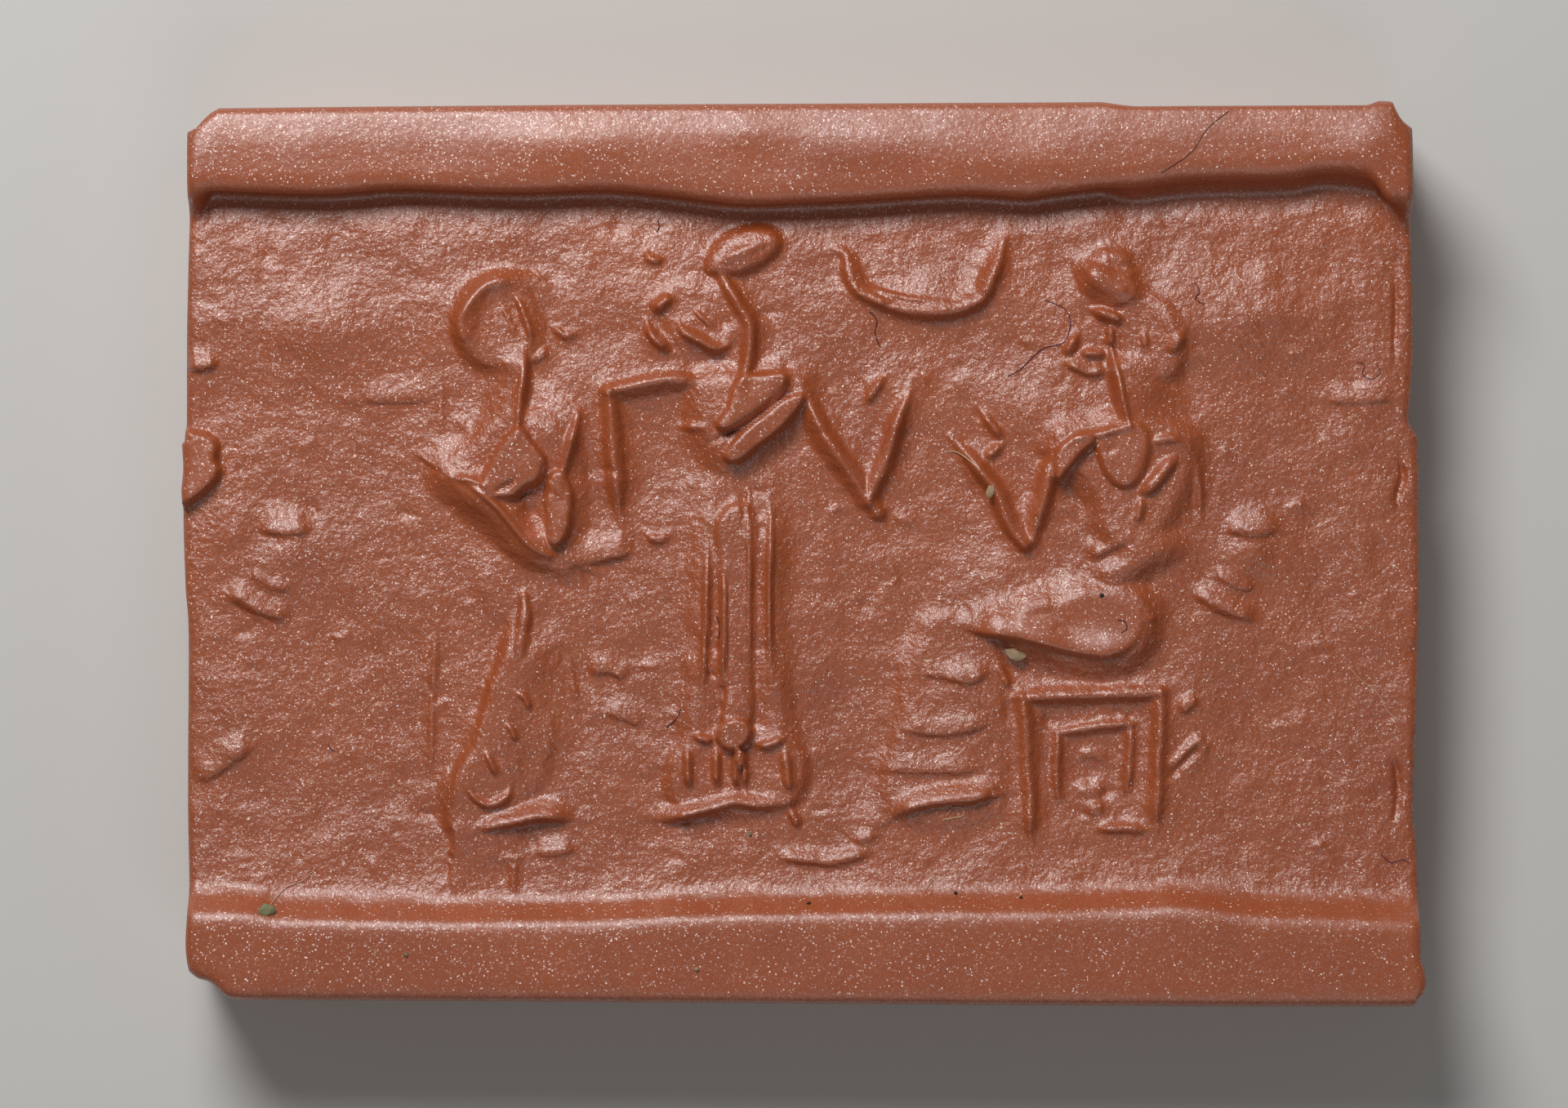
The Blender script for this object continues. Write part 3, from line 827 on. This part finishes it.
def micaClay():
    # polymer modelling clay with ground pearlescent mica: a pinkish satin where the face is pressed
    # flat, sparkling where it leans to the light, and the plain orange-brown body on steep sides
    material, tree, output = newMaterial("micaPolymerClay")
    place = addNode(tree, "ShaderNodeTexCoord").outputs["Object"]
    cloud = addNode(tree, "ShaderNodeTexNoise", {"Scale": 1 / (2.5 * mm), "Detail": 3.0}, Vector=place)
    tone = addNode(tree, "ShaderNodeMix", {"data_type": "RGBA", 6: hexColour(clay["body"]),
                                           7: hexColour(clay["shade"])}, Factor=cloud.outputs["Fac"])
    lumpy = addNode(tree, "ShaderNodeTexNoise", {"Scale": 1 / (clay["lumpSize"] * mm), "Detail": 3.0,
                                                 "Roughness": 0.6}, Vector=place)
    calm = addNode(tree, "ShaderNodeAttribute", {"attribute_name": "calm"})
    strength = addNode(tree, "ShaderNodeMapRange", {"To Min": 1.0, "To Max": 0.35}, Value=calm.outputs["Fac"])
    bumps = addNode(tree, "ShaderNodeBump", {"Distance": clay["lumpDepth"] * mm}, Height=lumpy.outputs["Fac"],
                    Strength=strength.outputs[0])
    # each flake has a lean of its own, small for most of them
    flakes = addNode(tree, "ShaderNodeTexVoronoi", {"Scale": 1 / (clay["flakeSize"] * mm)}, Vector=place)
    centred = addNode(tree, "ShaderNodeVectorMath", {"operation": "SUBTRACT", 1: (0.5, 0.5, 0.5)})
    tree.links.new(flakes.outputs["Color"], centred.inputs[0])
    size = addNode(tree, "ShaderNodeVectorMath", {"operation": "ABSOLUTE"})
    tree.links.new(centred.outputs[0], size.inputs[0])
    lean = addNode(tree, "ShaderNodeVectorMath", {"operation": "MULTIPLY"})
    tree.links.new(centred.outputs[0], lean.inputs[0])
    tree.links.new(size.outputs[0], lean.inputs[1])
    spread = addNode(tree, "ShaderNodeVectorMath", {"operation": "SCALE", "Scale": 4 * clay["flakeTilt"]})
    tree.links.new(lean.outputs[0], spread.inputs[0])
    facing = addNode(tree, "ShaderNodeVectorMath", {"operation": "ADD"})
    tree.links.new(spread.outputs[0], facing.inputs[0])
    tree.links.new(bumps.outputs["Normal"], facing.inputs[1])
    upright = addNode(tree, "ShaderNodeVectorMath", {"operation": "NORMALIZE"})
    tree.links.new(facing.outputs[0], upright.inputs[0])
    chance = addNode(tree, "ShaderNodeTexWhiteNoise", {"noise_dimensions": "3D"}, Vector=flakes.outputs["Position"])
    present = addNode(tree, "ShaderNodeMath", {"operation": "LESS_THAN", 1: clay["flakeShare"]})
    tree.links.new(chance.outputs["Value"], present.inputs[0])
    shader = addNode(tree, "ShaderNodeBsdfPrincipled", {"Roughness": clay["roughness"], "IOR": clay["ior"],
                                                        "Coat Roughness": 0.3, "Coat IOR": 1.9})
    tree.links.new(tone.outputs[2], shader.inputs["Base Color"])
    tree.links.new(bumps.outputs["Normal"], shader.inputs["Normal"])
    weight = addNode(tree, "ShaderNodeMath", {"operation": "MULTIPLY", 1: clay["flakeShine"]})
    tree.links.new(present.outputs[0], weight.inputs[0])
    tree.links.new(weight.outputs[0], shader.inputs["Coat Weight"])
    tree.links.new(upright.outputs[0], shader.inputs["Coat Normal"])
    tree.links.new(shader.outputs[0], output.inputs["Surface"])
    return material


# ---------------------------------------------------------------- assembly
rolledSlab = buildSlab()
rolledSlab.data.materials.append(micaClay())
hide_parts("impression_slab")
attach(rolledSlab, "root")
print("slab placed")

# ---------------------------------------------------------------- dust and lint
dust = dict(
    sides=5,  # of a fibre's section
    steps=12,  # along a fibre, between two of its points
    grains=[  # (place, size and turn in mm and degrees, stuff)
        ((5.25, 1.78), (0.46, 0.26, 0.16), 65, "chalkGrit"),
        ((5.93, -2.83), (0.62, 0.36, 0.26), -18, "chalkGrit"),
        ((-15.07, -10.01), (0.56, 0.42, 0.3), 15, "driedSoil"),
        ((-3.01, -11.63), (0.16, 0.12, 0.1), 0, "chalkGrit"),
        ((-11.14, -11.22), (0.13, 0.11, 0.1), 0, "driedSoil"),
        ((0.13, -9.81), (0.14, 0.1, 0.08), 20, "soot"),
        ((4.26, -9.53), (0.12, 0.1, 0.08), 50, "soot"),
        ((6.09, -9.65), (0.1, 0.1, 0.08), 0, "soot"),
        ((-1.52, -7.89), (0.13, 0.12, 0.1), 0, "driedSoil"),
        ((8.35, -1.17), (0.14, 0.12, 0.08), 0, "soot"),
    ],
    lint=[  # (fibre's path, thickness, stuff)
        ([(-4.11, 9.38), (-4.07, 9.2), (-4.13, 9.04)], 0.03, "darkWool"),
        ([(-2.46, -1.74), (-2.36, -2.05), (-2.4, -2.38)], 0.03, "darkWool"),
        ([(-3.46, -4.37), (-3.6, -4.66), (-3.87, -4.89)], 0.025, "darkWool"),
        ([(11.9, 12.4), (11.3, 11.9), (10.8, 11.2), (10.0, 10.66)], 0.02, "darkWool"),
        ([(1.85, 6.8), (2.05, 6.55), (2.0, 6.2), (2.14, 5.81)], 0.03, "darkWool"),
        ([(6.75, 7.13), (7.1, 7.0), (7.37, 6.83), (7.49, 6.47), (7.3, 5.94), (6.75, 5.78), (6.4, 5.5),
          (6.1, 5.2), (5.73, 4.98)], 0.026, "purpleWool"),
        ([(16.22, -8.46), (16.5, -8.68), (16.8, -8.6), (17.0, -8.69)], 0.025, "purpleWool"),
        ([(-13.36, -5.37), (-13.3, -5.5), (-13.18, -5.53)], 0.03, "purpleWool"),
        ([(15.55, 5.39), (15.75, 5.3), (15.7, 5.05), (15.95, 4.9), (16.2, 5.1), (16.1, 5.3)], 0.025, "purpleWool"),
        ([(11.0, 7.6), (11.1, 7.35), (11.0, 7.15), (11.23, 7.0)], 0.025, "darkWool"),
        ([(8.79, -1.87), (9.0, -1.9), (9.05, -2.1), (8.9, -2.22)], 0.025, "darkWool"),
        ([(3.0, 9.55), (3.4, 9.42), (3.8, 9.35)], 0.02, "cotton"),
        ([(4.01, 2.88), (4.3, 2.85), (4.6, 2.65), (4.86, 2.42)], 0.03, "cotton"),
        ([(15.28, -3.11), (15.6, -3.5), (16.1, -3.9), (16.4, -4.4), (16.7, -4.71)], 0.02, "cotton"),
        ([(3.51, -8.85), (3.6, -9.15), (3.35, -9.51)], 0.025, "cotton"),
        ([(4.01, -7.35), (4.2, -7.12), (4.45, -7.15), (4.47, -7.35), (4.2, -7.42), (3.9, -7.47)], 0.03, "cotton"),
        ([(-15.0, -9.9), (-14.6, -9.4), (-14.1, -9.2), (-13.73, -8.85)], 0.025, "cotton"),
    ],
    stuffs=dict(  # colour and roughness of each
        chalkGrit=("#a98f6f", 0.8),
        driedSoil=("#85805e", 0.85),
        soot=("#2b201a", 0.7),
        darkWool=("#3a1d14", 0.6),
        purpleWool=("#5c2a44", 0.6),
        cotton=("#d2b08c", 0.6),
    ),
)


def layFibre(levelAt, path, thick):
    # a fibre lies on the high places and hangs taut between them
    line = bend(path, dust["steps"])
    level = np.array([levelAt(*place) for place in line]) + 0.4 * thick
    taut = level.copy()
    for _ in range(40):
        taut[1:-1] = np.maximum(level[1:-1], (taut[:-2] + taut[2:]) / 2)
    spine = np.column_stack([line, taut])
    ahead = np.gradient(spine, axis=0)
    across = np.cross(ahead, (0, 0, 1))
    above = np.cross(across, ahead)
    across, above = (v / np.linalg.norm(v, axis=1)[:, None] for v in (across, above))
    sides, count = dust["sides"], len(spine)
    rings = []
    for angle in np.arange(sides) * 2 * math.pi / sides:
        rings.append(spine + thick / 2 * (math.cos(angle) * across + math.sin(angle) * above))
    points = np.stack(rings, 1).reshape(-1, 3)
    faces = [tuple(range(sides)), tuple(range((count - 1) * sides, count * sides))[::-1]]
    for k in range(count - 1):
        for j in range(sides):
            a, b = k * sides + j, k * sides + (j + 1) % sides
            faces.append((a, a + sides, b + sides, b))
    return points, faces


def dropGrain(levelAt, place, size, turn, seed):
    # a grain is a rough little lump, sunk a little way into the clay
    shape = bmesh.new()
    bmesh.ops.create_icosphere(shape, subdivisions=2, radius=0.5)
    rng = np.random.default_rng(seed)
    points = np.array([v.co for v in shape.verts]) * rng.uniform(0.8, 1.1, (len(shape.verts), 1)) * size
    faces = [tuple(v.index for v in face.verts) for face in shape.faces]
    shape.free()
    c, s = math.cos(math.radians(turn)), math.sin(math.radians(turn))
    x, y, z = points.T
    level = levelAt(*place) + 0.3 * size[2]
    return np.column_stack([place[0] + x * c - y * s, place[1] + x * s + y * c, level + z]), faces


def buildDust():
    mesh = rolledSlab.data
    ground = BVHTree.FromPolygons([v.co for v in mesh.vertices], [face.vertices[:] for face in mesh.polygons])

    def levelAt(x, y):
        return ground.ray_cast(scenePoint(x, y, 2 * slab["thick"]), Vector((0, 0, -1)))[0].z / mm

    vertices, faces, kinds = [], [], []
    names = list(dust["stuffs"])
    parts = [(*layFibre(levelAt, path, thick), stuff) for path, thick, stuff in dust["lint"]]
    for seed, (place, size, turn, stuff) in enumerate(dust["grains"]):
        parts.append((*dropGrain(levelAt, place, size, turn, seed), stuff))
    for points, corners, stuff in parts:
        start = len(vertices)
        vertices += [scenePoint(*p) for p in points.tolist()]
        faces += [tuple(start + k for k in face) for face in corners]
        kinds += [names.index(stuff)] * len(corners)
    mesh = bpy.data.meshes.new("surfaceDust")
    mesh.from_pydata(vertices, [], faces)
    mesh.polygons.foreach_set("material_index", kinds)
    mesh.update()
    for name, (colour, roughness) in dust["stuffs"].items():
        material, tree, output = newMaterial(name)
        shader = addNode(tree, "ShaderNodeBsdfPrincipled", {"Base Color": hexColour(colour), "Roughness": roughness})
        tree.links.new(shader.outputs[0], output.inputs["Surface"])
        mesh.materials.append(material)
    piece = bpy.data.objects.new("surfaceDust", mesh)
    bpy.context.scene.collection.objects.link(piece)
    print("dust:", len(mesh.polygons), "faces")
    return piece


surfaceDust = buildDust()
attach(surfaceDust, "root")

# ---------------------------------------------------------------- floor, light and camera
studio = dict(
    floor=0.6,  # m across
    floorColour="#d8d6d2",
    floorLevel=-0.00002,  # a hair under the slab
    keyFrom=(-0.045, 0.108, 0.13),  # m, close, so the light falls off towards the lower right
    keySize=0.08,
    keyPower=0.23,
    fillFrom=(0.05, -0.2, 0.25),
    fillSize=0.2,
    fillPower=0.1,
    worldLight=0.1,
)


def plainFloor():
    material, tree, output = newMaterial("matteCard")
    shader = addNode(tree, "ShaderNodeBsdfPrincipled", {"Base Color": hexColour(studio["floorColour"]), "Roughness": 0.9})
    tree.links.new(shader.outputs[0], output.inputs["Surface"])
    half = studio["floor"] / 2
    mesh = bpy.data.meshes.new("floor")
    mesh.from_pydata([(x, y, studio["floorLevel"]) for x, y in ((-half, -half), (half, -half), (half, half), (-half, half))], [], [(0, 1, 2, 3)])
    floor = bpy.data.objects.new("floor", mesh)
    floor.data.materials.append(material)
    bpy.context.scene.collection.objects.link(floor)


def areaLight(name, place, size, power, target=(0, 0, 0)):
    data = bpy.data.lights.new(name, "AREA")
    data.shape = "DISK"
    data.size = size
    data.energy = power
    light = bpy.data.objects.new(name, data)
    light.location = place
    light.rotation_euler = (Vector(target) - Vector(place)).to_track_quat("-Z", "Y").to_euler()
    bpy.context.scene.collection.objects.link(light)


plainFloor()
areaLight("key", studio["keyFrom"], studio["keySize"], studio["keyPower"])
areaLight("fill", studio["fillFrom"], studio["fillSize"], studio["fillPower"])
world = bpy.data.worlds.new("studio")
world.use_nodes = True
world.node_tree.nodes["Background"].inputs["Color"].default_value = (1, 1, 1, 1)
world.node_tree.nodes["Background"].inputs["Strength"].default_value = studio["worldLight"]
bpy.context.scene.world = world
bpy.context.scene.view_settings.view_transform = "Standard"

# A long macro lens straight above, as in a museum's record shot.
camera = bpy.data.objects.new("camera", bpy.data.cameras.new("camera"))
camera.data.lens = 200
camera.data.sensor_width = 36
camera.data.clip_start = 0.01
camera.data.clip_end = 10
frameWidth = 43.89  # mm across the picture at the borders' level
camera.location = scenePoint(-0.56, -0.01, slab["thick"] + frameWidth * camera.data.lens / camera.data.sensor_width)
bpy.context.scene.collection.objects.link(camera)
bpy.context.scene.camera = camera
print("studio ready")
